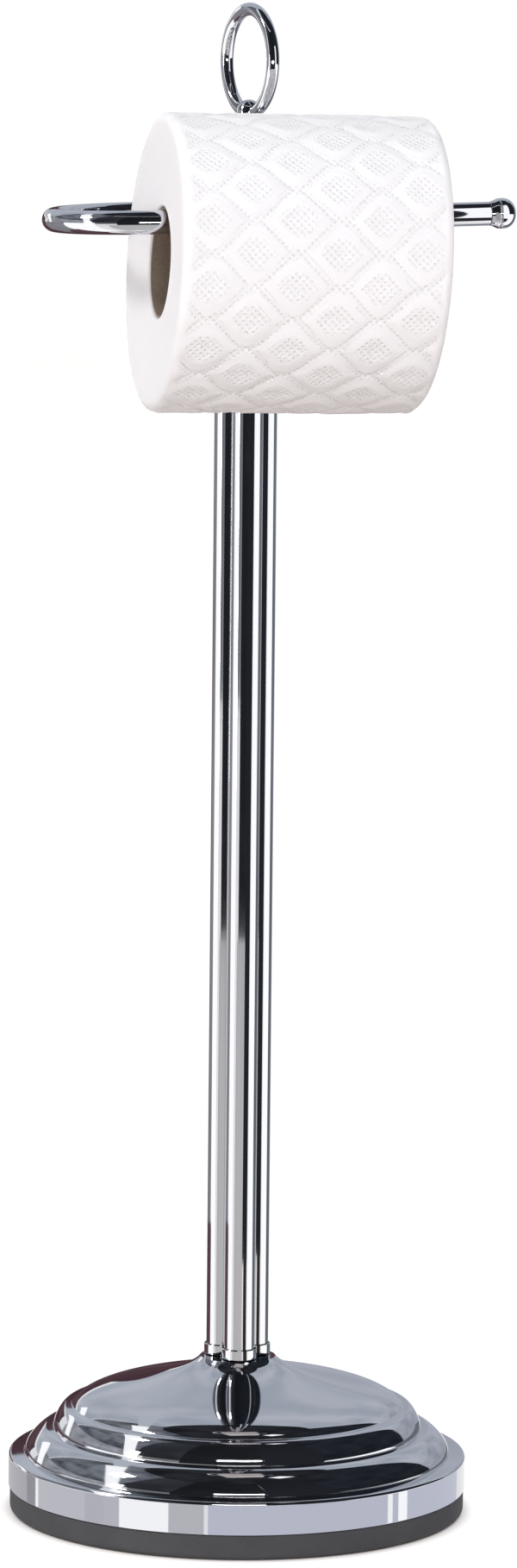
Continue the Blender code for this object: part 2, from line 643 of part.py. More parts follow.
def make_roll():
    """The core hangs on the arm, and the paper turns about the core's axis."""
    half = PAPER_WIDTH / 2
    roll_frame = bpy.data.objects.new("roll_axis", None)
    CUTTERS.objects.link(roll_frame)
    roll_frame.matrix_world = (ARM_FRAME @ Matrix.Translation((ROLL_SHIFT, -ARM_SPAN, -CORE_DROP))
                               @ ALONG_X)

    core = meshed(sleeve("roll_core", CORE_BORE / 2 + CORE_WALL, CORE_BORE / 2, CORE_INSET - half,
                         half - CORE_INSET, WIDE_SIDES))
    lean(core.data)
    core.parent = roll_frame
    finish(core, BOARD)

    outer = PAPER_DIAMETER / 2
    inner = PAPER_BORE / 2
    rim = outer - PAPER_EDGE
    outline = arc((rim, half - PAPER_EDGE), PAPER_EDGE, PAPER_EDGE, QUARTER, 0, PAPER_EDGE_STEPS)
    outline += arc((rim, PAPER_EDGE - half), PAPER_EDGE, PAPER_EDGE, 0, -QUARTER, PAPER_EDGE_STEPS)
    outline += [(inner + PAPER_BORE_EDGE, -half), (inner, PAPER_BORE_EDGE - half),
                (inner, half - PAPER_BORE_EDGE), (inner + PAPER_BORE_EDGE, half)]
    paper = meshed(turned("paper_roll", outline, WIDE_SIDES, closed=True))
    for vertex in paper.data.vertices:
        depth = (math.hypot(vertex.co.x, vertex.co.y) - inner) / (outer - inner)
        share = min(1, max(0, depth))
        vertex.co.x += share * (PAPER_SAG + vertex.co.z * math.tan(PAPER_DROOP))
    lean(paper.data)
    paper.parent = roll_frame
    finish(paper, TISSUE)


make_base()
make_column()
make_screws()
make_hub()
make_arm()
make_finial()
make_roll()
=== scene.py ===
"""Dresses the frame of a freestanding toilet paper holder: chrome stand, rubber foot, paper roll.

Metres, +Z up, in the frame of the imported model. The free end of the arm points along +X, and the
paper hangs in front of the column, towards -Y.
"""
import json
import math

import bmesh
import bpy
from bpy.props import FloatProperty, FloatVectorProperty, IntProperty, PointerProperty
from mathutils import Matrix, Vector, noise
from mathutils.geometry import interpolate_bezier


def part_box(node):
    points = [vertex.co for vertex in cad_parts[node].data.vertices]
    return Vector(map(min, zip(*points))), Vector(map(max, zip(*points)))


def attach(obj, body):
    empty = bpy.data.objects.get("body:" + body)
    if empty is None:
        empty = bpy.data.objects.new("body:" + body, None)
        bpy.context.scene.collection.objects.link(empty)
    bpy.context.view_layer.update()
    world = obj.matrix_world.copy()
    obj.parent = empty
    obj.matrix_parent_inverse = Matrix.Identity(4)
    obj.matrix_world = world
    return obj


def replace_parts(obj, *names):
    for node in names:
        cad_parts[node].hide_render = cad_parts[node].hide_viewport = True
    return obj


bl_info = {
    "name": "Toilet Paper Holder",
    "version": (1, 0, 0),
    "blender": (4, 5, 0),
    "location": "View3D > Sidebar > Paper Holder",
    "description": "Dresses the frame of a freestanding toilet paper holder",
    "category": "Object",
}

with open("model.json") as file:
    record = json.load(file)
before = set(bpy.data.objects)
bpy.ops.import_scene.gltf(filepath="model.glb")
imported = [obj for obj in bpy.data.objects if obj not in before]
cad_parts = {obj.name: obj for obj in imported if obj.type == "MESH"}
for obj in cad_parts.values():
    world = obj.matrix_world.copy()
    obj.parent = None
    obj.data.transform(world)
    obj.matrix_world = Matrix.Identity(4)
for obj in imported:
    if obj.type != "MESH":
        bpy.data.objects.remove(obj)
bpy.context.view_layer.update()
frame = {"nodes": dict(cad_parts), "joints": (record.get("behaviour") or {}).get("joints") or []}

MM = 0.001
WELD = 0.001 * MM
QUARTER = math.radians(90.0)
TURN = math.radians(360.0)
UP = Vector((0, 0, 1))
LEVEL = Vector((1, 1, 0))  # times a vector, leaves its level part
SHARP_ANGLE = math.radians(32.0)
CRISP = 0.3 * MM  # rounding of an edge that is barely broken
SIDES = ("front", "right", "left")
PAPER_TURN = next(joint for joint in frame["joints"] if joint["name"] == "paper_turn")

# Handles of the curves in the base cover's profile, as shares of their run and rise.
BEAD_HANDLES = ((0.0, 0.355), (0.645, 1.0))
DOME_HANDLES = ((0.14, 0.52), (0.86, 0.51))
ARM_SHORT = 2.6 * MM  # how far the arm's rear end stops short of the stud's axis
ARM_BORE_WALL = 1.5 * MM  # round the tip's spigot

# Embossing: how far its waves swing, in cells, the second line's width and depth, as shares of the
# first one's, and how far the cells' edges lie below their middles, as a share of that depth.
WAVE_SWING, RIB_WIDTH, RIB_DEPTH, CELL_CROWN = 0.25, 0.6, 0.7, 0.8
# Unevenness, as noise of a scale and a height: of the sheet, and of the turns, which show as
# ridges on the faces.
SHEET_SCALE, SHEET_SWELL = 35, 0.5 * MM
RIDGE_ACROSS, RIDGE_ALONG, RIDGE_HEIGHT = 900, 10, 0.25 * MM

# The camera, as fitted to the photograph.
CAMERA_AZIMUTH = math.radians(-12.023)
CAMERA_DISTANCE, CAMERA_HEIGHT = 2.7805, 0.6520
CAMERA_YAW, CAMERA_PITCH, CAMERA_ROLL = map(math.radians, (-12.154, 7.138, 0.551))
CAMERA_LENS = 156.52
# The world's light on the object. To the rays that see the background it is white, and so is the
# floor's glow, which fades where a piece comes close: a painted contact shadow over the floor's
# real shading.
WORLD_COLOUR, WORLD_LIGHT = (0.97, 0.97, 1.0, 1), 0.53
FLOOR_GLOW, FLOOR_SHARE = 1.31, 0.7
PAINTED_SHADOW_REACH = 5 * MM
LAMP_TARGET = 0.35  # height that the softboxes face
CEILING = 9.0

# Boards of a studio round the holder, which only mirror images show: degrees to the right of the
# camera, outline of (distance, height), two colours that drift into one another, and level.
WALL = ((8.4, 1.6), (8.0, 4.2), (5.2, 7.7), (4.2, 8.3))
LOW_WALL = ((8.0, 0.0), (7.8, 2.8))
RIGHT_WALL = ((8.0, 1.7), (7.7, 4.2), (4.9, 7.7), (4.2, 8.4))
SCREEN = ((3.0, 0.6), (2.6, 1.8), (1.6, 3.1))
FAR_FLOOR = ((0.26, 0.003), (8.0, 0.003))
BOARDS = (
    ("dark_front", (-35, 17), ((1.62, 0.0), (1.62, 1.8), (1.2, 2.4)), "#202225", "#2A2C30", 1.0),
    ("dark_side", (16, 52), ((0.55, 0.0), (0.55, 1.1), (0.8, 2.5)), "#222428", "#2A2C33", 1.0),
    ("dark_strip", (26, 50), ((0.24, 0.004), (0.56, 0.004)), "#2C2828", "#3A3634", 1.0),
    ("tip_card", (40.2, 58), ((0.2, 0.48), (0.2, 0.7)), "#FFFFFF", "#F4F4F8", 1.5),
    ("grey_front", (-60, -35), ((3.0, 0.0), (3.0, 0.6)), "#7E8082", "#9C9EA2", 1.0),
    ("dark_left_front", (-67, -35), SCREEN, "#2C2E33", "#3C3F45", 1.0),
    ("dark_right", (52, 127), RIGHT_WALL, "#20242A", "#2C3038", 1.0),
    ("dark_low_right", (52, 126), LOW_WALL, "#20242A", "#2C3038", 1.0),
    ("dark_ceiling", (-180, 180), ((4.4, 8.3), (0.01, CEILING)), "#202226", "#32343A", 1.0),
    ("blue_wall", (127, 228), WALL, "#B4BDC8", "#CDD1DB", 1.0),
    ("pale_wall", (126, 184), LOW_WALL, "#A4A9B6", "#BCC0CC", 1.0),
    ("dim_left", (-131, -66), WALL, "#4A4E56", "#8A8E96", 1.0),
    ("dim_low_left", (-140, -66), LOW_WALL, "#84878E", "#B8BAC0", 1.0),
    ("warm_wall", (-178, -150), ((7.9, 0.0), (7.8, 1.2)), "#4A343C", "#6A555C", 1.0),
    ("warm_end", (-181, -173), ((7.8, 0.0), (7.7, 1.9)), "#4A343C", "#6A555C", 1.0),
    ("warm_floor", (-179, -150), FAR_FLOOR, "#4A343C", "#6A555C", 1.0),
    ("rear_floor", (152, 181), FAR_FLOOR, "#A4A9B6", "#BCC0CC", 1.0),
    ("grey_table", (-45, 17), ((0.24, 0.002), (1.62, 0.002)), "#C4C3C2", "#D8D7D6", 1.0),
    ("far_right", (57, 106), FAR_FLOOR, "#FFFFFF", "#FFFFFF", 1.5),
    ("right_edge", (106, 152), FAR_FLOOR, "#6E7278", "#8A8E94", 1.0),
    ("far_left", (-104, -60), FAR_FLOOR, "#FFFFFF", "#FFFFFF", 1.5),
    ("left_edge", (-150, -104), FAR_FLOOR, "#8C8A8E", "#A09EA2", 1.0),
    ("warm_edge", (-150, -98), ((0.24, 0.004), (0.62, 0.004)), "#5A4048", "#7A6068", 1.0),
)
# Pale hoops at the left: direction, inner and outer opening, how much of the hoop, colour, level.
HOOPS = (
    ("bright_hoop", -124, (50, 58), (0, 86), "#FFFFFF", 1.4),
    ("pale_hoop", -124, (53, 58), (86, 120), "#CBD1DA", 1.0),
    ("small_hoop", -151, (16, 22.5), (0, 96), "#FFFFFF", 1.4),
)
HOOP_DISTANCE = 6.8
# Glowing patches over the floor close by, which paint what the band mirrors there: from and to
# which side of the band, colour, level.
PATCHES = (
    (-90, -66, "#C8C6CC", 1.0), (-66, -61, "#AEACB2", 1.0), (-61, -59.6, "#FFFFFF", 1.3),
    (-59.6, -41, "#DEDDE4", 1.0), (-41, -35, "#D2D2D8", 1.0), (-35, -30.4, "#D8D6DE", 1.0),
    (-30.4, -17, "#FFFFFF", 1.35), (-17, -8, "#D6D6DA", 1.0), (-8, -7, "#FFFFFF", 1.1),
    (-7, 41, "#DADCEA", 1.0), (41, 42.6, "#FFFFFF", 1.3), (42.6, 44.6, "#DADCEA", 1.0),
    (44.6, 47.8, "#FFFFFF", 1.4), (47.8, 74, "#DCDEEC", 1.0), (74, 90, "#FFFFFF", 1.0),
)
PATCH_REACH = 0.12
PATCH_GAP = 1 * MM  # from the band and over the floor
# Softboxes: degrees to the right of the camera and above the middle, distance, size and watts.
SOFTBOXES = (
    ("left_softbox", -67, 2, 1.9, (0.22, 0.7), 5.0),
    ("left_lamp", -85, 42, 2.0, (0.28, 0.28), 10.0),
    ("front_bar", 1.5, 8, 1.5, (0.7, 0.1), 4.0),
)
FILLS = (  # soft light on the matt pieces, which the chrome doesn't mirror
    ("front_fill", 14, 26, 2.4, (1.4, 1.4), 19.0),
    ("rear_fill", -160, 20, 2.6, (1.4, 1.4), 8.0),
)


def to_linear(hex_colour):
    """The linear colour of an sRGB hex value such as #C0FFEE."""
    channels = [int(hex_colour[i:i + 2], 16) / 255 for i in (1, 3, 5)]
    return [c / 12.92 if c <= 0.04045 else ((c + 0.055) / 1.055) ** 2.4 for c in channels]


def length(name, millimetres, description):
    return FloatProperty(name=name, description=description, default=millimetres * MM, min=0.0,
                         precision=5, unit="LENGTH")


def angle(name, degrees, description):
    return FloatProperty(name=name, description=description, default=math.radians(degrees),
                         subtype="ANGLE")


def colour(name, hex_colour, description):
    return FloatVectorProperty(name=name, description=description, default=to_linear(hex_colour),
                               min=0.0, max=1.0, size=3, subtype="COLOR")


class HolderSizes(bpy.types.PropertyGroup):
    """Sizes that the frame's boxes don't give."""
    cover_wall: length("Cover wall", 0.8, "Thickness of the base cover's sheet")
    band_edge: length("Band edge", 1.2, "Rounding on top of the upright band")
    band_top: length("Band top", 24.0, "Height of the upright band's top")
    rim_run: length("Rim run", 5.4, "Width of the sloping rim above the band")
    rim_rise: length("Rim rise", 0.7, "How far the rim slopes up")
    low_bead_run: length("Lower bead run", 9.5, "How far the lower bead runs inwards")
    low_bead_rise: length("Lower bead rise", 9.9, "How far the lower bead steps up")
    high_bead_run: length("Upper bead run", 5.3, "How far the upper bead runs inwards")
    high_bead_rise: length("Upper bead rise", 9.1, "How far the upper bead steps up")
    ledge_run: length("Ledge run", 2.4, "Width of the ledge above a bead")
    ledge_rise: length("Ledge rise", 0.2, "How far a ledge slopes up")
    cove: length("Cove", 0.3, "Fillet where a step meets the ledge below it")
    neck_radius: length("Neck radius", 15.6, "Radius of the dome's top")
    foot_wall: length("Foot wall", 2.5, "Thickness of the foot ring's upright wall")
    foot_flange: length("Foot flange", 11.3, "Width of the foot ring on the floor")
    foot_floor: length("Foot floor", 3.0, "Thickness of the foot ring's flange")
    foot_edge: length("Foot edge", 2.4, "Rounding of the foot ring at the floor")
    foot_lip: length("Foot lip", 3.3, "Width of the foot ring's lip under the band")
    tube_wall: length("Tube wall", 1.0, "Wall of a column tube")
    cup_wall: length("Cup wall", 0.6, "Wall of the cups that hold the tubes")
    cup_skirt: length("Cup skirt", 2.0, "How deep a tube sits in a cup")
    cup_edge: length("Cup edge", 0.3, "Rounding of the cups' edges")
    clearance: length("Clearance", 0.3, "Gap between pieces that touch")
    hub_edge: length("Hub edge", 2.5, "Rounding of the hub's rims")
    grub_hole: length("Grub screw hole", 4.6, "Diameter of the grub screw's hole in the hub")
    arm_diameter: length("Arm diameter", 9.5, "Outside diameter of the bent arm")
    tip_length: length("Tip length", 10.7, "How far the tip stands out of the arm")
    tip_diameter: length("Tip diameter", 12.2, "Diameter of the tip's crown")
    tip_flare: length("Tip flare", 3.4, "Length of the flare behind the crown")
    tip_groove: length("Tip groove", 0.35, "Depth of the groove between flare and crown")
    tip_spigot: length("Tip spigot", 9.0, "Length of the spigot inside the arm")
    ball_diameter: length("Ball diameter", 10.6, "Diameter of the ball under the ring")
    finial_foot: length("Finial foot", 2.4, "Height of the finial's foot disc")
    finial_bell: length("Finial bell", 12.5, "Height of the finial's bell")
    finial_waist: length("Finial waist", 4.4, "Radius at the top of the bell")
    finial_bead: length("Finial bead", 5.4, "Radius of the bead over the bell")
    finial_stem: length("Finial stem", 3.3, "Radius of the stem under the ball")
    ring_diameter: length("Ring diameter", 47.0, "Diameter of the carry ring over its wire")
    ring_wire: length("Ring wire", 5.2, "Thickness of the carry ring's wire")
    ring_gap: length("Ring gap", 3.0, "Gap between the wire's two ends inside the ball")
    core_bore: length("Core bore", 41.7, "Bore of the board core")
    core_wall: length("Core wall", 1.0, "Wall of the board core")
    core_inset: length("Core inset", 1.0, "How far the core ends inside the paper's faces")
    core_dip: length("Core dip", 2.4, "How far core and inner turns lie back at the left face")
    paper_diameter: length("Paper diameter", 118.0, "Diameter of the wound paper")
    paper_width: length("Paper width", 108.6, "Width of the paper along the roll")
    paper_edge: length("Paper edge", 4.5, "Soft rounding of the outer turns")
    paper_sag: length("Paper sag", 2.0, "How far the outer turns hang below the core")
    quilt_depth: length("Quilt depth", 0.55, "Depth of the embossed quilt lines")
    quilt_line: length("Quilt line", 1.1, "Half width of an embossed line")
    quilt_height: length("Quilt height", 34.0, "Height of a quilt cell along the roll")
    quilt_rib: length("Quilt rib", 3.6, "How far from an embossed line a second, thinner one is")
    dot_pitch: length("Dot pitch", 2.1, "Spacing of the embossed dots")
    dot_chain: length("Dot chain", 1.7, "Half width of the dotted chain along a line")
    dot_cluster: length("Dot cluster", 7.0, "How far from a line the cluster of dots begins")
    ring_turn: angle("Ring turn", -75.5, "Direction of the ring's plane, from +X")
    arm_rise: angle("Arm rise", 1.5, "How steeply the arm climbs to its free end")
    paper_droop: angle("Paper droop", 2.2, "Slope of the outer turns towards the free end")
    paper_lean: angle("Paper lean", 4.4, "Lean of the roll's faces along the arm")
    quilt_cells: IntProperty(name="Quilt cells", description="Quilt cells round the roll",
                             default=14, min=2)


class HolderColours(bpy.types.PropertyGroup):
    """Colours of the finishes."""
    chrome: colour("Chrome", "#D2D3D7", "Bright chrome plate")
    zinc: colour("Zinc", "#B4B5B3", "Zinc plated steel")
    rubber: colour("Rubber", "#48484B", "Moulded rubber of the foot")
    foam: colour("Foam", "#26262A", "Foam pad under the base")
    iron: colour("Iron", "#3A3A3C", "Painted cast iron weight")
    board: colour("Board", "#8D7B6C", "Wound board of the core")
    tissue: colour("Tissue", "#F6F5F7", "Bleached tissue")


def chosen(context):
    """The sizes and the colours that are set in the scene."""
    return context.scene.holder_sizes, context.scene.holder_colours


def set_inputs(node, inputs):
    """Set a node's inputs to values, or link them to a socket or to the first output of a node."""
    for name, value in inputs.items():
        if isinstance(value, bpy.types.Node):
            value = value.outputs[0]
        if isinstance(value, bpy.types.NodeSocket):
            node.id_data.links.new(value, node.inputs[name])
        else:
            node.inputs[name].default_value = value


def add_node(tree, kind, inputs=None, **settings):
    """A new shader node with its settings, values and links."""
    node = tree.nodes.new("ShaderNode" + kind)
    for name, value in settings.items():
        setattr(node, name, value)
    set_inputs(node, inputs or {})
    return node


def new_material(name, base_colour, **sockets):
    """A material with a Principled shader, its node tree and that shader."""
    material = bpy.data.materials.new(name)
    material.use_nodes = True
    shader = material.node_tree.nodes["Principled BSDF"]
    sockets["Base Color"] = (*base_colour, 1)
    set_inputs(shader, {socket.replace("_", " "): value for socket, value in sockets.items()})
    return material, material.node_tree, shader


def polished_chrome(name, colours):
    """Chromium on polished nickel: a mirror, with a soft ripple and wiped patches that dull it."""
    material, tree, shader = new_material(name, colours.chrome, Metallic=1.0)
    place = add_node(tree, "TexCoord").outputs["Object"]
    wiped = add_node(tree, "TexNoise", {"Vector": place, "Scale": 1 / (18 * MM), "Detail": 3.0})
    dull = add_node(tree, "MapRange", {"Value": wiped, "From Min": 0.35, "From Max": 0.8,
                                       "To Min": 0.03, "To Max": 0.075})
    ripple = add_node(tree, "TexNoise", {"Vector": place, "Scale": 1 / (7 * MM), "Detail": 1.0})
    bump = add_node(tree, "Bump", {"Strength": 0.02, "Distance": 0.2 * MM, "Height": ripple})
    set_inputs(shader, {"Roughness": dull, "Normal": bump})
    return material


def zinc_plate(colours):
    """Zinc plated steel: satin, with a crystalline speckle."""
    material, tree, shader = new_material("zinc_plate", colours.zinc, Metallic=1.0)
    place = add_node(tree, "TexCoord").outputs["Object"]
    crystals = add_node(tree, "TexVoronoi", {"Vector": place, "Scale": 1 / (0.6 * MM)})
    dull = add_node(tree, "MapRange", {"Value": crystals, "To Min": 0.28, "To Max": 0.5})
    set_inputs(shader, {"Roughness": dull})
    return material


def moulded_rubber(colours):
    """Moulded black rubber: matt, with a fine eroded grain and a dusting that greys it."""
    material, tree, shader = new_material("moulded_rubber", colours.rubber, Roughness=0.72)
    place = add_node(tree, "TexCoord").outputs["Object"]
    dust = add_node(tree, "TexNoise", {"Vector": place, "Scale": 1 / (9 * MM), "Detail": 6.0})
    shade = add_node(tree, "ValToRGB", {"Fac": dust})
    for stop, level in zip(shade.color_ramp.elements, (0.82, 1.14)):
        stop.color = (*(level * c for c in colours.rubber), 1)
    grain = add_node(tree, "TexNoise", {"Vector": place, "Scale": 1 / (0.5 * MM), "Detail": 4.0})
    bump = add_node(tree, "Bump", {"Strength": 0.25, "Distance": 0.1 * MM, "Height": grain})
    set_inputs(shader, {"Base Color": shade, "Normal": bump})
    return material


def foam_sheet(colours):
    """Closed cell foam: dead matt, with open cells cut through on its face."""
    material, tree, shader = new_material("foam_sheet", colours.foam, Roughness=0.95)
    place = add_node(tree, "TexCoord").outputs["Object"]
    cells = add_node(tree, "TexVoronoi", {"Vector": place, "Scale": 1 / (0.9 * MM)})
    bump = add_node(tree, "Bump", {"Strength": 0.6, "Distance": 0.2 * MM, "Height": cells})
    set_inputs(shader, {"Normal": bump})
    return material


def painted_iron(colours):
    """Sand cast iron under one coat of black paint: dull and pebbled by the mould."""
    material, tree, shader = new_material("painted_iron", colours.iron, Roughness=0.6)
    place = add_node(tree, "TexCoord").outputs["Object"]
    sand = add_node(tree, "TexNoise", {"Vector": place, "Scale": 1 / (0.8 * MM), "Detail": 5.0})
    bump = add_node(tree, "Bump", {"Strength": 0.5, "Distance": 0.3 * MM, "Height": sand})
    set_inputs(shader, {"Normal": bump})
    return material


def wound_board(colours):
    """Recycled grey board wound in a spiral: flecked, with a seam that runs round the bore."""
    material, tree, shader = new_material("wound_board", colours.board, Roughness=0.9)
    cloth = add_node(tree, "TexCoord").outputs["UV"]
    flecks = add_node(tree, "TexNoise", {"Vector": cloth, "Scale": 1 / (1.2 * MM), "Detail": 6.0,
                                         "Distortion": 0.6})
    shade = add_node(tree, "ValToRGB", {"Fac": flecks})
    for stop, spot, level in zip(shade.color_ramp.elements, (0.3, 0.75), (0.78, 1.12)):
        stop.position = spot
        stop.color = (*(level * c for c in colours.board), 1)
    slope = add_node(tree, "Mapping", {"Vector": cloth, "Rotation": (0, 0, math.radians(52.0))})
    # At scale 1 a wave comes every pi / 10 metres, so here the seam comes every 121 mm.
    seam = add_node(tree, "TexWave", {"Vector": slope, "Scale": 1 / (384 * MM)},
                    wave_profile="SAW").outputs["Fac"]
    bump = add_node(tree, "Bump", {"Strength": 0.7, "Distance": 0.3 * MM, "Height": seam})
    fibre = add_node(tree, "Bump", {"Strength": 0.3, "Distance": 0.1 * MM, "Height": flecks,
                                    "Normal": bump})
    set_inputs(shader, {"Base Color": shade, "Normal": fibre})
    return material


def creped_tissue(colours, dot_pitch):
    """Bleached, creped tissue: soft, matt and faintly fuzzy, with rows of embossed dots."""
    material, tree, shader = new_material("creped_tissue", colours.tissue, Roughness=0.95,
                                          Sheen_Weight=0.15, Sheen_Roughness=0.6,
                                          Specular_IOR_Level=0.2)
    cloth = add_node(tree, "TexCoord").outputs["UV"]
    skewed = add_node(tree, "Mapping", {"Vector": cloth, "Rotation": (0, 0, math.radians(45.0))})
    dots = add_node(tree, "TexVoronoi", {"Vector": skewed, "Scale": 1 / dot_pitch,
                                         "Randomness": 0.0}, voronoi_dimensions="2D")
    dent = add_node(tree, "MapRange", {"Value": dots, "From Min": 0.1, "From Max": 0.36})
    dotted = add_node(tree, "Attribute", attribute_name="dotted").outputs["Fac"]
    raised = add_node(tree, "Math", {0: 1.0, 1: dotted}, operation="SUBTRACT")
    height = add_node(tree, "Math", {0: dent, 1: raised}, operation="MAXIMUM")
    emboss = add_node(tree, "Bump", {"Distance": 0.34 * MM, "Height": height})
    crepe = add_node(tree, "TexNoise", {"Vector": cloth, "Scale": 1 / (0.8 * MM), "Detail": 5.0})
    fibre = add_node(tree, "Bump", {"Strength": 0.35, "Distance": 0.12 * MM, "Height": crepe,
                                    "Normal": emboss})
    set_inputs(shader, {"Normal": fibre})
    return material


def turned(corners, steps, segments=6, closed=False, finest=None):
    """Spin an outline through corners of (radius, height, rounding) round the Z axis.

    A closed outline joins its ends. Edges longer than finest are cut to about that length.
    """
    bm = bmesh.new()
    verts = [bm.verts.new((radius, 0, height)) for radius, height, _ in corners]
    for pair in zip(verts, verts[1:] + verts[:1] if closed else verts[1:]):
        bm.edges.new(pair)
    for vert, (_, _, rounding) in zip(verts, corners):
        if rounding:
            bmesh.ops.bevel(bm, geom=[vert], offset=rounding, offset_type="OFFSET",
                            segments=segments, profile=0.5, affect="VERTICES", material=-1)
    for edge in bm.edges[:] if finest else ():
        cuts = int(edge.calc_length() / finest) - 1
        if cuts > 0:
            bmesh.ops.subdivide_edges(bm, edges=[edge], cuts=cuts)
    bmesh.ops.spin(bm, geom=bm.verts[:] + bm.edges[:], cent=(0, 0, 0), axis=UP, angle=TURN,
                   steps=steps, use_merge=True)
    close(bm)
    return bm


def close(bm):
    """Merge doubles and point every face outwards."""
    bmesh.ops.remove_doubles(bm, verts=bm.verts, dist=WELD)
    bmesh.ops.dissolve_degenerate(bm, edges=bm.edges, dist=WELD)
    bmesh.ops.recalc_face_normals(bm, faces=bm.faces)


def only(kind, geometry):
    """The vertices, edges or faces in what an operator returns."""
    return [part for part in geometry if isinstance(part, kind)]


def add_mesh(name, bm, material=None):
    """Put a finished bmesh in the scene as an object."""
    mesh = bpy.data.meshes.new(name)
    bm.to_mesh(mesh)
    bm.free()
    if material:
        mesh.materials.append(material)
    piece = bpy.data.objects.new(name, mesh)
    bpy.context.scene.collection.objects.link(piece)
    return piece


def add_piece(node, making, bm, material, body="stand"):
    """A finished mesh that takes the place and the body of a node of the frame."""
    piece = add_mesh(f"{node}_{making}", bm, material)
    piece.data.shade_smooth()
    piece.data.set_sharp_from_angle(angle=SHARP_ANGLE)
    shading = piece.modifiers.new("flat_faces_stay_flat", "WEIGHTED_NORMAL")
    shading.keep_sharp = True
    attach(piece, body)
    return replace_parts(piece, node)


def hollow(piece, cutters):
    """Cut the shapes of other objects out of a piece."""
    for cutter in cutters:
        modifier = piece.modifiers.new("cut", "BOOLEAN")
        modifier.object = cutter
        modifier.solver = "EXACT"
    seen = piece.evaluated_get(bpy.context.evaluated_depsgraph_get())
    mesh = bpy.data.meshes.new_from_object(seen)
    piece.modifiers.clear()
    piece.data = mesh
    mesh.set_sharp_from_angle(angle=SHARP_ANGLE)
    for cutter in cutters:
        bpy.data.objects.remove(cutter, do_unlink=True)


def new_cutter(radius, depth, place):
    """A round bar along the X axis of a place, for cutting a hole."""
    bm = bmesh.new()
    bmesh.ops.create_cone(bm, cap_ends=True, segments=64, radius1=radius, radius2=radius,
                          depth=depth, matrix=place @ Matrix.Rotation(QUARTER, 4, "Y"))
    return add_mesh("cutter", bm)


def middle_of(node):
    low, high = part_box(node)
    return (low + high) / 2


def arm_frame(sizes):
    """The arm's own frame: its X axis climbs with the arm, from the middle of the hub."""
    return (Matrix.Translation((0, 0, middle_of("arm_hub").z))
            @ Matrix.Rotation(-sizes.arm_rise, 4, "Y"))


class MakeBase(bpy.types.Operator):
    """Spin the chrome cover and the rubber foot ring, and cut the pad"""
    bl_idname = "paper_holder.make_base"
    bl_label = "Base"

    def execute(self, context):
        sizes, colours = chosen(context)
        self.make_cover(sizes, polished_chrome("spun_chrome", colours))
        self.make_foot(sizes, moulded_rubber(colours))
        self.make_pad(foam_sheet(colours))
        return {"FINISHED"}

    def make_cover(self, sizes, chrome):
        """The sheet's outer side: band, sloping rim, two beads with ledges above them, dome."""
        low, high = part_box("base_cover")
        radius, height = high.x, sizes.band_top
        corners = [(radius - 2 * sizes.band_edge, low.z, 0), (radius, low.z, CRISP),
                   (radius, height, sizes.band_edge)]
        radius -= sizes.band_edge + sizes.rim_run
        height += sizes.rim_rise
        for run, rise in ((sizes.low_bead_run, sizes.low_bead_rise),
                          (sizes.high_bead_run, sizes.high_bead_rise)):
            corners.append((radius, height, sizes.cove))
            corners += self.swept(radius, height, run, rise, BEAD_HANDLES)
            radius -= run + sizes.ledge_run
            height += rise + sizes.ledge_rise
        corners.append((radius, height, sizes.cove))
        corners += self.swept(radius, height, radius - sizes.neck_radius, high.z - height,
                              DOME_HANDLES)
        corners.append((0, high.z, 0))
        cover = add_piece("base_cover", "spun", turned(corners, steps=288), chrome)
        wall = cover.modifiers.new("wall", "SOLIDIFY")
        wall.thickness = sizes.cover_wall
        wall.offset = -1
        cover.modifiers.move(1, 0)

    def swept(self, radius, height, run, rise, handles, steps=28):
        """Corners along a curve that runs inwards and up, without its first point."""
        points = [Vector((radius - inwards * run, 0, height + up * rise))
                  for inwards, up in ((0, 0), *handles, (1, 1))]
        return [(point.x, point.z, 0) for point in interpolate_bezier(*points, steps)[1:]]

    def make_foot(self, sizes, rubber):
        """A ring that grips inside the band, with a lip that fills the band's lower edge."""
        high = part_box("foot_ring")[1]
        lip_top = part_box("base_cover")[0].z - sizes.clearance
        grip = high.x - sizes.foot_lip
        wall = grip - sizes.foot_wall
        toe = high.x - sizes.foot_flange
        floor = sizes.foot_floor
        bm = turned([(wall, high.z, CRISP), (grip, high.z, 0.5 * MM), (grip, lip_top, 0.2 * MM),
                     (high.x, lip_top, 0.7 * MM), (high.x, 0, sizes.foot_edge), (toe, 0, 0.4 * MM),
                     (toe, floor, 0.4 * MM), (wall, floor, 0.4 * MM)], steps=256, closed=True)
        add_piece("foot_ring", "moulded", bm, rubber)

    def make_pad(self, foam):
        low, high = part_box("base_pad")
        bm = turned([(0, low.z, 0), (high.x, low.z, CRISP), (high.x, high.z, CRISP),
                     (0, high.z, 0)], steps=128)
        add_piece("base_pad", "sheet", bm, foam)


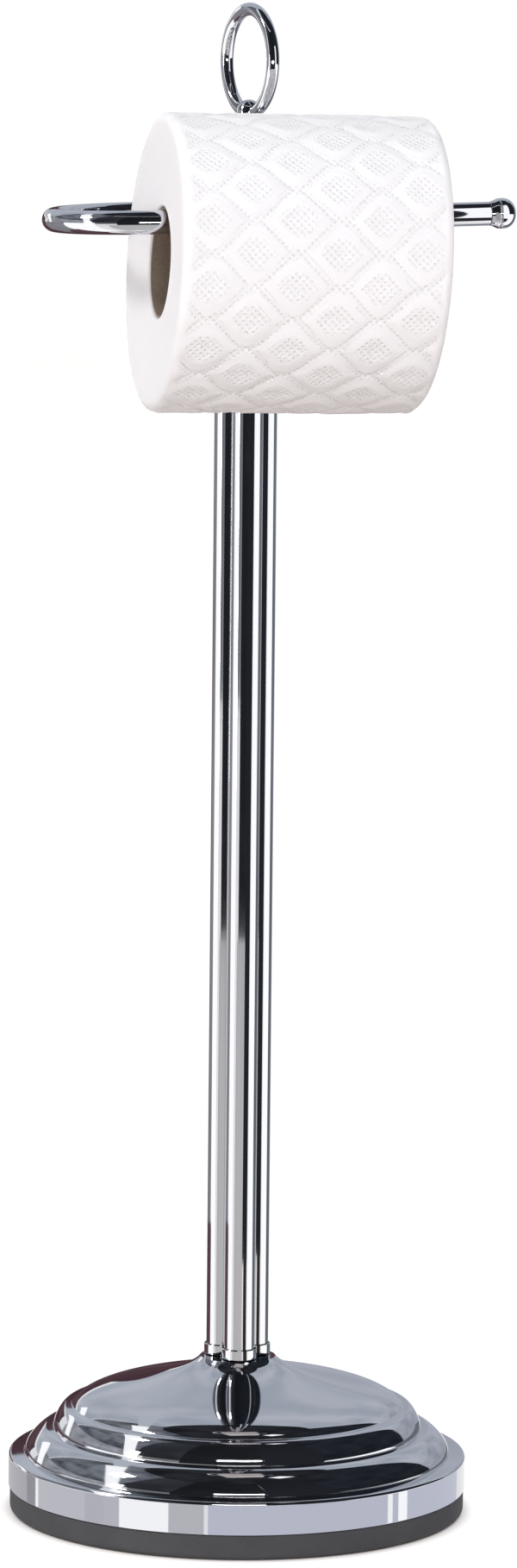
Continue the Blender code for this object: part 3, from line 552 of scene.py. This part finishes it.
class MakeColumn(bpy.types.Operator):
    """Draw the three tubes of the column and the trefoil cups at their ends"""
    bl_idname = "paper_holder.make_column"
    bl_label = "Column"

    def execute(self, context):
        sizes, colours = chosen(context)
        drawn = polished_chrome("drawn_chrome", colours)
        cast = polished_chrome("cast_chrome", colours)
        for side in SIDES:
            self.make_tube(f"{side}_tube", sizes, drawn)
        for cup in ("foot_collar", "head_collar"):
            self.make_cup(cup, sizes, cast)
        return {"FINISHED"}

    def make_tube(self, node, sizes, chrome):
        low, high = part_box(node)
        outer = (high.x - low.x) / 2
        inner = outer - sizes.tube_wall
        chamfer = 0.2 * MM
        bm = turned([(outer, low.z, chamfer), (outer, high.z, chamfer), (inner, high.z, chamfer),
                     (inner, low.z, chamfer)], steps=128, segments=2, closed=True)
        bmesh.ops.translate(bm, verts=bm.verts, vec=middle_of(node) * LEVEL)
        add_piece(node, "drawn", bm, chrome)

    def make_cup(self, node, sizes, chrome):
        """A trefoil plate with a cavity for the tubes, which opens down in the head cup."""
        low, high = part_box(node)
        tube_low, tube_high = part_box("front_tube")
        lobe = (tube_high.x - tube_low.x) / 2 + sizes.clearance + sizes.cup_wall
        centres = [middle_of(f"{side}_tube") * LEVEL for side in SIDES]
        orbit = centres[0].length
        pitch = (centres[0] - centres[1]).length / 2
        waist = orbit / 2 + math.sqrt(lobe ** 2 - pitch ** 2)
        half = math.atan2(waist * math.sin(TURN / 6), waist / 2 - orbit)
        bm = bmesh.new()
        for centre in centres:
            start = centre + Matrix.Rotation(-half, 3, "Z") @ (centre.normalized() * lobe)
            bmesh.ops.spin(bm, geom=[bm.verts.new(start)], cent=centre, axis=UP, angle=2 * half,
                           steps=40)
        bmesh.ops.remove_doubles(bm, verts=bm.verts, dist=0.05 * MM)  # where two lobes meet
        plate = bmesh.ops.contextual_create(bm, geom=bm.edges[:])["faces"]
        top = only(bmesh.types.BMFace, bmesh.ops.extrude_face_region(bm, geom=plate)["geom"])[0]
        bmesh.ops.translate(bm, verts=top.verts[:], vec=UP * (high.z - low.z))
        rims = [edge for edge in bm.edges if abs(edge.verts[0].co.z - edge.verts[1].co.z) < WELD]
        bmesh.ops.bevel(bm, geom=rims, offset=sizes.cup_edge, offset_type="OFFSET", segments=4,
                        profile=0.5, affect="EDGES", material=-1)
        bm.normal_update()
        lid = max(bm.faces, key=lambda face: face.calc_center_median().z)
        bmesh.ops.inset_region(bm, faces=[lid], thickness=sizes.cup_wall - sizes.cup_edge)
        sunk = bmesh.ops.extrude_face_region(bm, geom=[lid])["geom"]
        bmesh.ops.delete(bm, geom=[lid], context="FACES_ONLY")
        bmesh.ops.translate(bm, verts=only(bmesh.types.BMVert, sunk),
                            vec=-UP * (sizes.cup_skirt + sizes.clearance))
        if node == "head_collar":
            back = 2 * centres[0].to_2d().angle_signed(Vector((1, 0)))
            place = (Matrix.Translation(UP * high.z) @ Matrix.Rotation(back, 4, "Z")
                     @ Matrix.Rotation(2 * QUARTER, 4, "X"))
        else:
            place = Matrix.Translation(UP * low.z)
        bmesh.ops.transform(bm, matrix=place, verts=bm.verts)
        close(bm)
        add_piece(node, "cast", bm, chrome)


class MakeHub(bpy.types.Operator):
    """Turn the hub that holds the arm, with its socket and its grub screw hole"""
    bl_idname = "paper_holder.make_hub"
    bl_label = "Hub"

    def execute(self, context):
        sizes, colours = chosen(context)
        low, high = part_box("arm_hub")
        radius = high.x
        bm = turned([(0, low.z, 0), (radius, low.z, sizes.hub_edge),
                     (radius, high.z, sizes.hub_edge), (0, high.z, 0)], steps=128, segments=10)
        hub = add_piece("arm_hub", "turned", bm, polished_chrome("turned_chrome", colours))
        socket = new_cutter((sizes.arm_diameter + sizes.clearance) / 2, radius,
                            arm_frame(sizes) @ Matrix.Translation((-radius, 0, 0)))
        side = middle_of("arm_screw") + Vector((0, radius / 2, 0))
        hole = new_cutter(sizes.grub_hole / 2, radius,
                          Matrix.Translation(side) @ Matrix.Rotation(QUARTER, 4, "Z"))
        hollow(hub, [socket, hole])
        return {"FINISHED"}


class MakeArm(bpy.types.Operator):
    """Bend the arm and turn the tip in its free end"""
    bl_idname = "paper_holder.make_arm"
    bl_label = "Arm"

    def execute(self, context):
        sizes, colours = chosen(context)
        chrome = polished_chrome("bent_chrome", colours)
        arm = arm_frame(sizes)
        radius = sizes.arm_diameter / 2
        span = -PAPER_TURN["pos_m"][1]
        slope = math.cos(sizes.arm_rise)
        bend_out = -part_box("arm_tube")[0].x / slope - span / 2 - radius
        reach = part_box("arm_tip")[1].x / slope - sizes.tip_length
        root = middle_of("hub_stud").x - ARM_SHORT
        self.make_tube(arm, radius, span, bend_out, root, reach, chrome)
        self.make_tip(arm @ Matrix.Translation((reach, -span, 0)), sizes, chrome)
        return {"FINISHED"}

    def make_tube(self, arm, radius, span, bend_out, root, reach, chrome):
        """The rear leg out to the bend, the bend, and the front leg back to the free end."""
        bm = bmesh.new()
        start = Matrix.Translation((root, 0, 0)) @ Matrix.Rotation(QUARTER, 4, "Y")
        bmesh.ops.create_circle(bm, segments=64, radius=radius, cap_ends=False, matrix=start)
        end = self.extend(bm, bm.edges[:], Vector((-bend_out - root, 0, 0)))
        bent = bmesh.ops.spin(bm, geom=end, cent=(-bend_out, -span / 2, 0), axis=UP,
                              angle=2 * QUARTER, steps=96)["geom_last"]
        self.extend(bm, only(bmesh.types.BMEdge, bent), Vector((reach + bend_out, 0, 0)))
        bmesh.ops.holes_fill(bm, edges=bm.edges, sides=0)
        bmesh.ops.transform(bm, matrix=arm, verts=bm.verts)
        close(bm)
        add_piece("arm_tube", "bent", bm, chrome)

    def extend(self, bm, ring, along):
        """Extend a ring of edges along a line, and return the new ring."""
        drawn = bmesh.ops.extrude_edge_only(bm, edges=ring)["geom"]
        verts = only(bmesh.types.BMVert, drawn)
        bmesh.ops.translate(bm, verts=verts, vec=along)
        return [edge for edge in only(bmesh.types.BMEdge, drawn)
                if all(vert in verts for vert in edge.verts)]

    def make_tip(self, place, sizes, chrome):
        """The spigot, the flare behind the crown, the groove and the domed end."""
        crown = sizes.tip_diameter / 2
        arm = sizes.arm_diameter / 2
        spigot = arm - ARM_BORE_WALL
        start = sizes.clearance
        lip = start + sizes.tip_flare
        groove = sizes.tip_groove
        dome = sizes.tip_length - lip - 2 * groove
        bm = turned([(0, -sizes.tip_spigot, 0), (spigot, -sizes.tip_spigot, 0.4 * MM),
                     (spigot, start, 0), (arm, start, 0.15 * MM),
                     (arm + 0.25 * MM, start + 0.9 * MM, 0.6 * MM), (crown, lip, 0.25 * MM),
                     (crown - groove, lip + groove, 0.12 * MM), (crown, lip + 2 * groove, 0.2 * MM),
                     (crown, sizes.tip_length, dome * 0.8), (0, sizes.tip_length, 0)],
                    steps=96, segments=10)
        bmesh.ops.transform(bm, matrix=place @ Matrix.Rotation(QUARTER, 4, "Y"), verts=bm.verts)
        add_piece("arm_tip", "turned", bm, chrome)


class MakeRing(bpy.types.Operator):
    """Turn the finial and bend the carry ring that stands in its ball"""
    bl_idname = "paper_holder.make_ring"
    bl_label = "Carry ring"

    def execute(self, context):
        sizes, colours = chosen(context)
        chrome = polished_chrome("ring_chrome", colours)
        wire = sizes.ring_wire / 2
        radius = sizes.ring_diameter / 2 - wire
        centre = Vector((0, 0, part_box("carry_ring")[1].z - radius - wire))
        self.make_wire(centre, radius, wire, sizes, chrome)
        self.make_finial(centre.z - radius, sizes, chrome)
        return {"FINISHED"}

    def make_wire(self, centre, radius, wire, sizes, chrome):
        half_gap = sizes.ring_gap / 2 / radius
        start = Matrix.Rotation(QUARTER + half_gap, 4, "Y") @ Matrix.Translation((radius, 0, 0))
        bm = bmesh.new()
        bmesh.ops.create_circle(bm, segments=48, radius=wire, cap_ends=False, matrix=start)
        bmesh.ops.spin(bm, geom=bm.edges[:], cent=(0, 0, 0), axis=(0, 1, 0),
                       angle=TURN - 2 * half_gap, steps=160)
        bmesh.ops.holes_fill(bm, edges=bm.edges, sides=0)
        bmesh.ops.rotate(bm, verts=bm.verts, matrix=Matrix.Rotation(sizes.ring_turn, 3, "Z"))
        bmesh.ops.translate(bm, verts=bm.verts, vec=centre)
        close(bm)
        add_piece("carry_ring", "bent", bm, chrome)

    def make_finial(self, ball_height, sizes, chrome):
        """The foot disc, the bell, the bead over it and the stem, and the ball on top."""
        low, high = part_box("ring_finial")
        foot = low.z + sizes.finial_foot
        bell = low.z + sizes.finial_bell
        waist, stem = sizes.finial_waist, sizes.finial_stem
        bead = sizes.finial_bead - waist
        bead_top, bead_edge = bell + 2.6 * bead, 0.95 * bead
        ball = sizes.ball_diameter / 2
        bm = turned([(0, low.z, 0), (high.x, low.z, CRISP), (high.x, foot, 0.5 * MM),
                     (waist, foot, bell - foot - 0.5 * MM), (waist, bell, 0),
                     (sizes.finial_bead, bell, bead_edge), (sizes.finial_bead, bead_top, bead_edge),
                     (stem, bead_top, CRISP), (stem, ball_height - ball, 0)], steps=96, segments=10)
        bmesh.ops.create_uvsphere(bm, u_segments=64, v_segments=32, radius=ball,
                                  matrix=Matrix.Translation((0, 0, ball_height)))
        add_piece("ring_finial", "turned", bm, chrome)


def quilt(around, along, sizes):
    """Height of the embossing at a place on the sheet, and whether it is dotted.

    Two mirrored waves cross along the roll and leave rows of pointed cells. Chains of dots follow
    the waves, and a cluster of dots fills the middle of a cell.
    """
    cell = math.pi * sizes.paper_diameter / sizes.quilt_cells
    column, row = around / cell, along / sizes.quilt_height
    away = cell * min(abs((column - side * WAVE_SWING * math.sin(TURN * row) - shift) % 1 - 0.5)
                      for side, shift in ((1, 0.0), (-1, 0.5)))
    line = math.exp(-(away / sizes.quilt_line) ** 2)
    rib = math.exp(-((away - sizes.quilt_rib) / (RIB_WIDTH * sizes.quilt_line)) ** 2)
    puff = 0.5 - 0.5 * math.cos(TURN * min(1, 2 * away / cell))
    dotted = away < sizes.dot_chain or away > sizes.dot_cluster
    return sizes.quilt_depth * (CELL_CROWN * (puff - 1) - line - RIB_DEPTH * rib), float(dotted)


class MakeRoll(bpy.types.Operator):
    """Wind the paper on its board core, sagging and leaning as it hangs on the arm"""
    bl_idname = "paper_holder.make_roll"
    bl_label = "Paper roll"

    def execute(self, context):
        sizes, colours = chosen(context)
        axis = Vector(PAPER_TURN["axis"])
        down = Vector((0, 1, 0)).cross(axis).normalized()
        across = axis.cross(down)
        place = Matrix((down, across, axis)).transposed().to_4x4()
        place.translation = Vector(PAPER_TURN["pos_m"])
        self.make_core(place, sizes, wound_board(colours))
        self.make_paper(place, sizes, creped_tissue(colours, sizes.dot_pitch))
        return {"FINISHED"}

    def make_core(self, place, sizes, board):
        half = sizes.paper_width / 2 - sizes.core_inset
        inner = sizes.core_bore / 2
        outer = inner + sizes.core_wall
        bm = turned([(outer, half, CRISP), (inner, half, CRISP), (inner, -half, CRISP),
                     (outer, -half, CRISP)], steps=160, segments=3, closed=True)
        self.unroll(bm, inner)
        for vert in bm.verts:
            vert.co.z += sizes.core_dip if vert.co.z < 0 else 0
            vert.co.z -= vert.co.x * math.tan(sizes.paper_lean)
        bmesh.ops.transform(bm, matrix=place, verts=bm.verts)
        add_piece("roll_core", "wound", bm, board, "core")

    def make_paper(self, place, sizes, tissue):
        half = sizes.paper_width / 2
        inner = sizes.core_bore / 2 + sizes.core_wall + sizes.clearance
        outer = sizes.paper_diameter / 2
        edge, inner_edge = sizes.paper_edge, 0.8 * MM
        bm = turned([(inner, half, inner_edge), (outer, half, edge), (outer, -half, edge),
                     (inner, -half, inner_edge)], steps=336, segments=8, closed=True,
                    finest=1.1 * MM)
        self.unroll(bm, outer)
        dotted = bm.verts.layers.float.new("dotted")
        for vert in bm.verts:
            radius = math.hypot(vert.co.x, vert.co.y)
            depth = min(1, max(0, (radius - inner) / (outer - inner)))
            flat = 0
            if radius > outer - edge:
                flat = min(1, max(0, (half - edge - abs(vert.co.z)) / edge + 1))
            around = (math.atan2(vert.co.y, vert.co.x) % TURN) * outer
            raised, chained = quilt(around, vert.co.z, sizes)
            vert[dotted] = chained if flat > 0.9 else 0.0
            swell = noise.noise(vert.co * SHEET_SCALE) * SHEET_SWELL
            out = vert.co * LEVEL / radius
            vert.co += out * (raised + swell) * flat * depth
            ridge = noise.noise(Vector((radius * RIDGE_ACROSS, 0, vert.co.z * RIDGE_ALONG)))
            vert.co.z += ridge * RIDGE_HEIGHT * depth * (1 - flat)
            vert.co.z += sizes.core_dip * (1 - depth) * max(0, -vert.co.z / half)
            vert.co.x += depth * (sizes.paper_sag + vert.co.z * math.tan(sizes.paper_droop))
            vert.co.z -= vert.co.x * math.tan(sizes.paper_lean)
        bmesh.ops.transform(bm, matrix=place, verts=bm.verts)
        add_piece("paper_roll", "wound", bm, tissue, "paper")

    def unroll(self, bm, radius):
        """Lay a UV map out flat in metres: round the roll, and along it or across its face."""
        layer = bm.loops.layers.uv.new("UVMap")
        girth = TURN * radius
        for face in bm.faces:
            turns = [math.atan2(loop.vert.co.y, loop.vert.co.x) % TURN * radius
                     for loop in face.loops]
            for loop, around in zip(face.loops, turns):
                if max(turns) - around > girth / 2:
                    around += girth
                place = loop.vert.co
                loop[layer].uv = (around, place.z + radius - math.hypot(place.x, place.y))


class DressFittings(bpy.types.Operator):
    """Give the frame's own weight, screws, washers, inserts and plug their finishes"""
    bl_idname = "paper_holder.dress_fittings"
    bl_label = "Fittings"

    def execute(self, context):
        colours = context.scene.holder_colours
        zinc, iron = zinc_plate(colours), painted_iron(colours)
        for name, node in frame["nodes"].items():
            if not node.hide_render:
                node.data.materials.clear()
                node.data.materials.append(iron if name == "base_weight" else zinc)
        return {"FINISHED"}


class MakeStage(bpy.types.Operator):
    """Lay the floor, hang the lamps and the boards that the chrome mirrors, and aim the camera"""
    bl_idname = "paper_holder.make_stage"
    bl_label = "Stage"

    def execute(self, context):
        scene = context.scene
        scene.view_settings.view_transform = "Standard"
        self.make_world(scene)
        self.make_floor()
        for name, (first, last), profile, first_hex, second_hex, level in BOARDS:
            bm = self.bend(profile, math.radians(last - first))
            bmesh.ops.rotate(bm, verts=bm.verts, matrix=self.bearing(first))
            self.add_board(name, bm, first_hex, second_hex, level)
        for hoop in HOOPS:
            self.make_hoop(*hoop)
        for number, patch in enumerate(PATCHES):
            self.make_patch(f"patch_{number}", *patch)
        for softbox in SOFTBOXES:
            self.make_softbox(*softbox)
        for fill in FILLS:
            self.make_softbox(*fill).visible_glossy = False
        self.make_camera(scene)
        return {"FINISHED"}

    def white_seen(self, tree):
        """1 for the rays that see the background: camera, mirror and glass rays."""
        rays = add_node(tree, "LightPath").outputs
        mirrored = add_node(tree, "Math", {0: rays["Is Camera Ray"], 1: rays["Is Glossy Ray"]},
                            operation="MAXIMUM")
        return add_node(tree, "Math", {0: mirrored, 1: rays["Is Transmission Ray"]},
                        operation="MAXIMUM")

    def make_world(self, scene):
        world = bpy.data.worlds.new("studio")
        scene.world = world
        world.use_nodes = True
        tree = world.node_tree
        tree.nodes.clear()
        soft = add_node(tree, "Background", {"Color": WORLD_COLOUR, "Strength": WORLD_LIGHT})
        white = add_node(tree, "Background", {"Color": (1, 1, 1, 1)})
        both = add_node(tree, "MixShader", {0: self.white_seen(tree), 1: soft, 2: white})
        add_node(tree, "OutputWorld", {"Surface": both})

    def make_floor(self):
        material, tree, shader = new_material("pale_floor", to_linear("#CBC1BB"), Roughness=0.9)
        glow = add_node(tree, "Emission", {"Color": (1, 1, 1, 1), "Strength": FLOOR_GLOW})
        # Painted contact shadow: ambient occlusion fades the floor's glow near the pieces, so that
        # the floor's own lit and shaded colour shows there.
        clear = add_node(tree, "AmbientOcclusion", {"Distance": PAINTED_SHADOW_REACH},
                         samples=4).outputs["AO"]
        share = add_node(tree, "Math", {0: clear, 1: FLOOR_SHARE}, operation="MULTIPLY")
        seen = add_node(tree, "Math", {0: self.white_seen(tree), 1: share}, operation="MULTIPLY")
        both = add_node(tree, "MixShader", {0: seen, 1: shader, 2: glow})
        set_inputs(tree.nodes["Material Output"], {"Surface": both})
        bm = bmesh.new()
        bmesh.ops.create_grid(bm, x_segments=1, y_segments=1, size=20.0)
        self.add_to_stage("floor", bm, material)

    def add_to_stage(self, name, bm, material):
        piece = add_mesh(name, bm, material)
        return piece

    def bearing(self, degrees, size=3):
        """Turn round the Z axis to a direction in degrees to the right of the camera."""
        return Matrix.Rotation(math.radians(degrees) + CAMERA_AZIMUTH, size, "Z")

    def bend(self, profile, sweep):
        """A board with an upright profile of (distance, height), bent round the Z axis from -Y."""
        bm = bmesh.new()
        verts = [bm.verts.new((0, -distance, height)) for distance, height in profile]
        for pair in zip(verts, verts[1:]):
            bm.edges.new(pair)
        bmesh.ops.spin(bm, geom=bm.verts[:] + bm.edges[:], cent=(0, 0, 0), axis=UP, angle=sweep,
                       steps=48)
        return bm

    def make_hoop(self, name, azimuth, openings, sweep, hex_colour, level):
        """Part of a hoop that stands on the floor and faces the holder, from its right foot."""
        profile = [(HOOP_DISTANCE * math.sin(angle), -HOOP_DISTANCE * math.cos(angle))
                   for angle in map(math.radians, openings)]
        first, last = map(math.radians, sweep)
        bm = self.bend(profile, first - last)
        upright = Matrix.Rotation(-QUARTER, 3, "X") @ Matrix.Rotation(QUARTER - first, 3, "Z")
        bmesh.ops.rotate(bm, verts=bm.verts, matrix=self.bearing(azimuth) @ upright)
        self.add_board(name, bm, hex_colour, hex_colour, level)

    def make_patch(self, name, first, last, hex_colour, level):
        """A glowing patch just over the floor, between the mirrored sight lines of two sides of the
        band, which paints the band's reflection there.
        """
        near = Vector((0, -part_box("base_cover")[1].x - PATCH_GAP, PATCH_GAP))
        bm = bmesh.new()
        for angle in (first, (2 * first + last) / 3, (first + 2 * last) / 3, last):
            foot = self.bearing(angle) @ near
            along = self.bearing(2 * angle) @ Vector((0, -PATCH_REACH, 0))
            bm.edges.new([bm.verts.new(foot), bm.verts.new(foot + along)])
        sides = bm.edges[:]
        for pair in zip(sides, sides[1:]):
            bmesh.ops.contextual_create(bm, geom=pair)
        self.add_board(name, bm, hex_colour, hex_colour, level)

    def add_board(self, name, bm, first_hex, second_hex, level):
        """Put a glowing board on the stage, which only mirror images show."""
        material = bpy.data.materials.new(name)
        material.use_nodes = True
        tree = material.node_tree
        tree.nodes.clear()
        place = add_node(tree, "TexCoord").outputs["Object"]
        drift = add_node(tree, "TexNoise", {"Vector": place, "Scale": 0.5})
        shade = add_node(tree, "ValToRGB", {"Fac": drift})
        for stop, spot, hex_colour in zip(shade.color_ramp.elements, (0.35, 0.65),
                                          (first_hex, second_hex)):
            stop.position = spot
            stop.color = (*to_linear(hex_colour), 1)
        glow = add_node(tree, "Emission", {"Color": shade, "Strength": level})
        add_node(tree, "OutputMaterial", {"Surface": glow})
        board = self.add_to_stage(name, bm, material)
        board.visible_camera = board.visible_diffuse = board.visible_transmission = False
        board.visible_volume_scatter = board.visible_shadow = False

    def make_softbox(self, name, azimuth, elevation, distance, size, power):
        lamp = bpy.data.lights.new(name, "AREA")
        lamp.shape = "RECTANGLE"
        lamp.size, lamp.size_y = size
        lamp.energy = power
        softbox = bpy.data.objects.new(name, lamp)
        bpy.context.scene.collection.objects.link(softbox)
        softbox.visible_camera = False
        softbox.matrix_world = (Matrix.Translation((0, 0, LAMP_TARGET)) @ self.bearing(azimuth, 4)
                                @ Matrix.Rotation(QUARTER - math.radians(elevation), 4, "X")
                                @ Matrix.Translation((0, 0, distance)))
        return softbox

    def make_camera(self, scene):
        data = bpy.data.cameras.new("camera")
        data.lens = CAMERA_LENS
        camera = bpy.data.objects.new("camera", data)
        scene.collection.objects.link(camera)
        camera.matrix_world = (Matrix.Rotation(CAMERA_AZIMUTH, 4, "Z")
                               @ Matrix.Translation((0, -CAMERA_DISTANCE, CAMERA_HEIGHT))
                               @ Matrix.Rotation(CAMERA_YAW - CAMERA_AZIMUTH, 4, "Z")
                               @ Matrix.Rotation(QUARTER - CAMERA_PITCH, 4, "X")
                               @ Matrix.Rotation(CAMERA_ROLL, 4, "Z"))
        scene.camera = camera


OPERATORS = (MakeBase, MakeColumn, MakeHub, MakeArm, MakeRing, MakeRoll, DressFittings, MakeStage)


class HolderPanel(bpy.types.Panel):
    """Lists the steps that dress the holder"""
    bl_idname = "VIEW3D_PT_paper_holder"
    bl_label = "Toilet Paper Holder"
    bl_space_type = "VIEW_3D"
    bl_region_type = "UI"
    bl_category = "Paper Holder"

    def draw(self, context):
        for operator in OPERATORS:
            self.layout.operator(operator.bl_idname)


CLASSES = (HolderSizes, HolderColours, *OPERATORS, HolderPanel)


def register():
    for cls in CLASSES:
        bpy.utils.register_class(cls)
    bpy.types.Scene.holder_sizes = PointerProperty(type=HolderSizes)
    bpy.types.Scene.holder_colours = PointerProperty(type=HolderColours)


def unregister():
    del bpy.types.Scene.holder_colours
    del bpy.types.Scene.holder_sizes
    for cls in reversed(CLASSES):
        bpy.utils.unregister_class(cls)


def main():
    register()
    for operator in OPERATORS:
        getattr(bpy.ops.paper_holder, operator.bl_idname.split(".")[1])()


if __name__ == "__main__":
    main()
